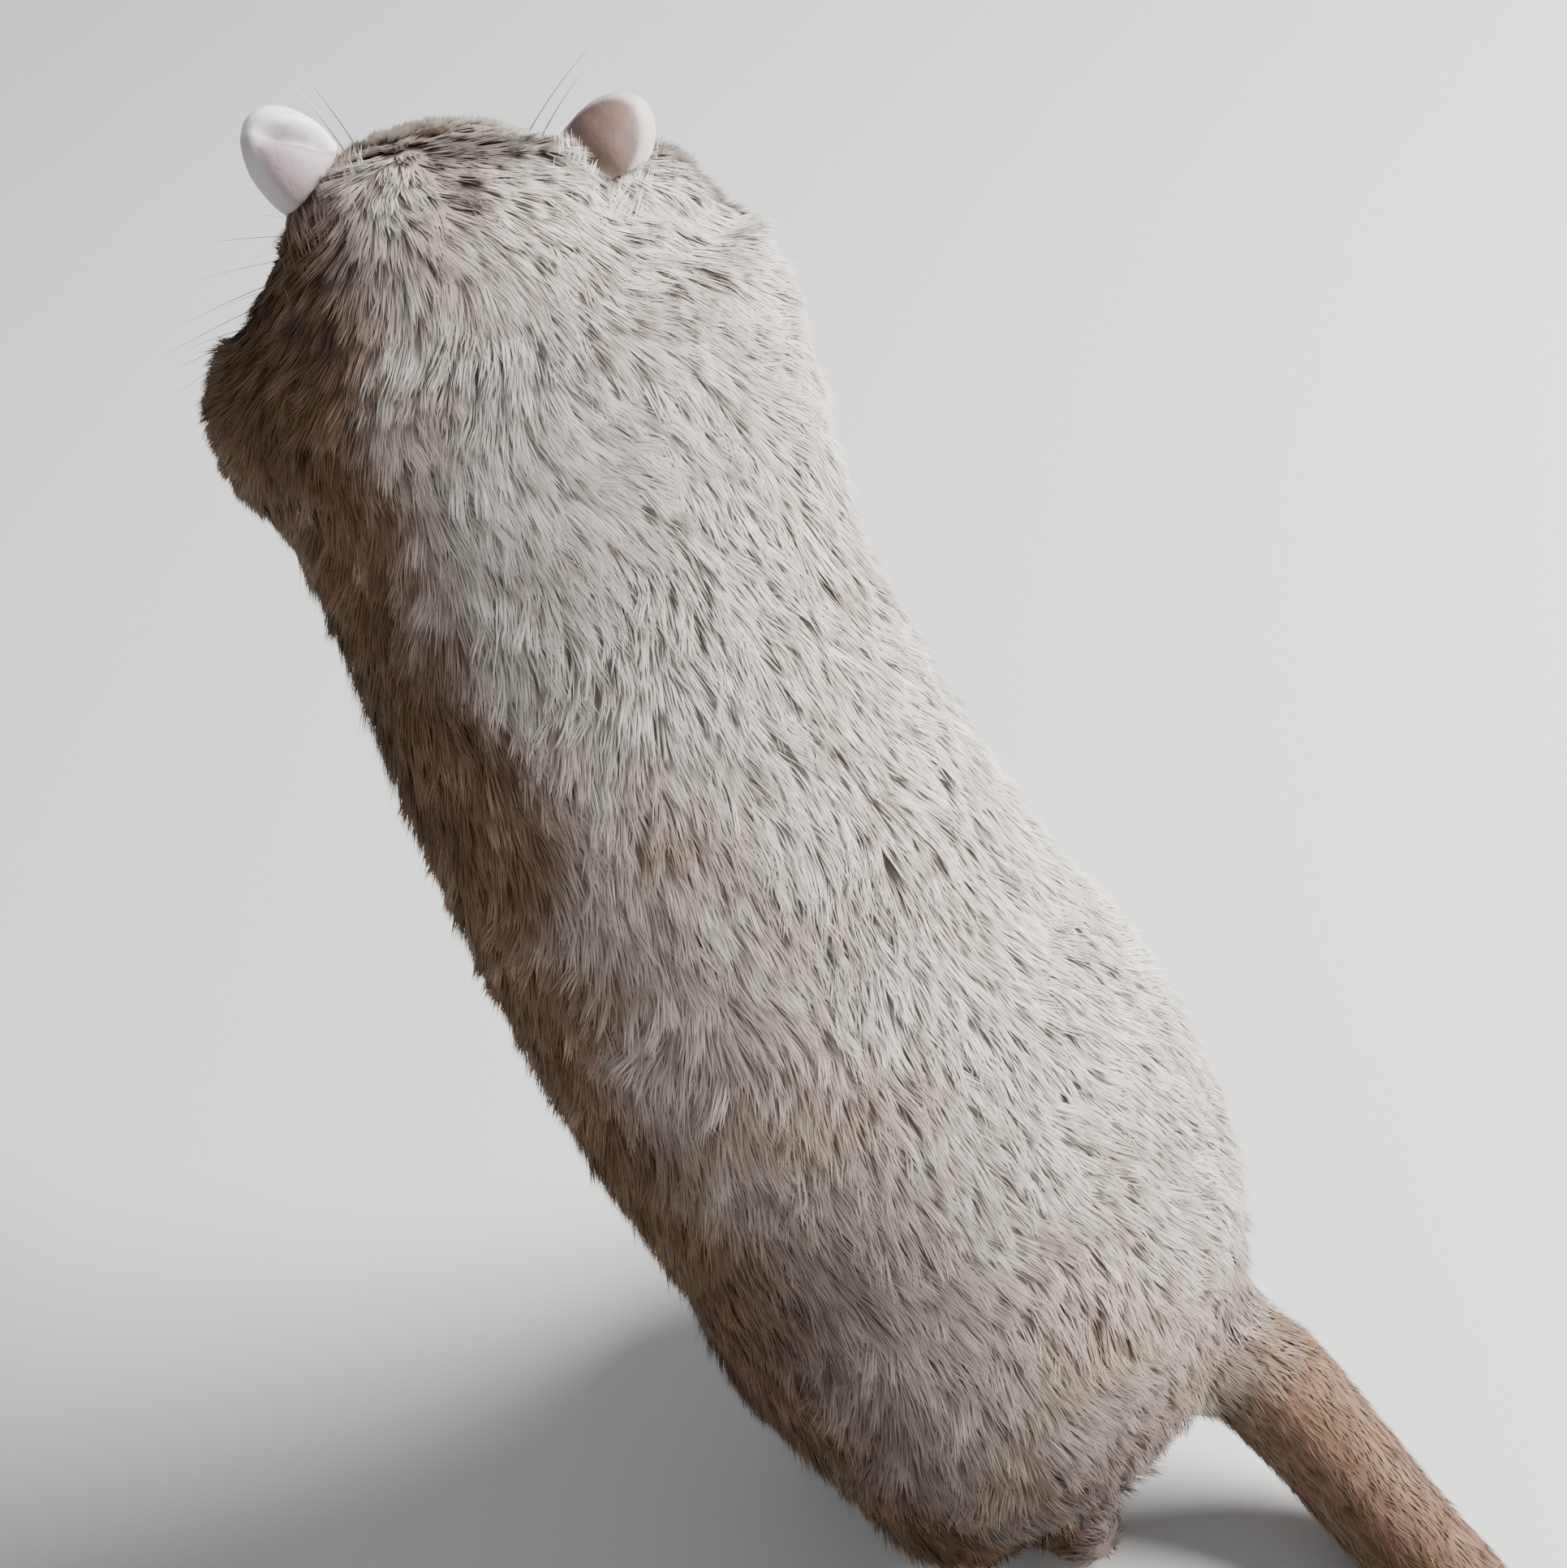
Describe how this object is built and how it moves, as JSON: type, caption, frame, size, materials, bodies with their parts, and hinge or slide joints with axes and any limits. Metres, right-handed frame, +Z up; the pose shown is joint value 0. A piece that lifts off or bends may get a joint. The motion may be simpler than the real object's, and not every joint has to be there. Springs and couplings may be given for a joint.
{
  "type": "gerbil",
  "caption": "Life-size still model of a pale silver gerbil stretched upright on its hind feet, forepaws tucked under the chin, head turned right, tail laid back on the floor.",
  "frame": {"origin": "middle of the bounding box at floor level", "axes": "+Z up, +Y the way the animal's breast faces, +X its right side"},
  "size_m": [0.0464, 0.1576, 0.1144],
  "materials": {
    "fur_silver": "dense short fur, pale silver beige ticked with slate",
    "skin_pink": "thin bare skin with sparse short hair, soft sheen",
    "tail_brown": "tail skin under very short close hair",
    "eye_black": "wet, glossy black eye"
  },
  "bodies": {
    "root": {"head": "fur_silver", "neck": "fur_silver", "chest": "fur_silver", "loin": "fur_silver", "rump": "fur_silver", "foreleg_left": "fur_silver", "foreleg_right": "fur_silver", "hindleg_left": "fur_silver", "hindleg_right": "fur_silver", "forepaw_left": "skin_pink", "forepaw_right": "skin_pink", "hindfoot_left": "skin_pink", "hindfoot_right": "skin_pink", "ear_left": "skin_pink", "ear_right": "skin_pink", "eye_left": "eye_black", "eye_right": "eye_black", "tail_root": "tail_brown", "tail_mid": "tail_brown", "tail_tip": "tail_brown"}
  },
  "joints": []
}
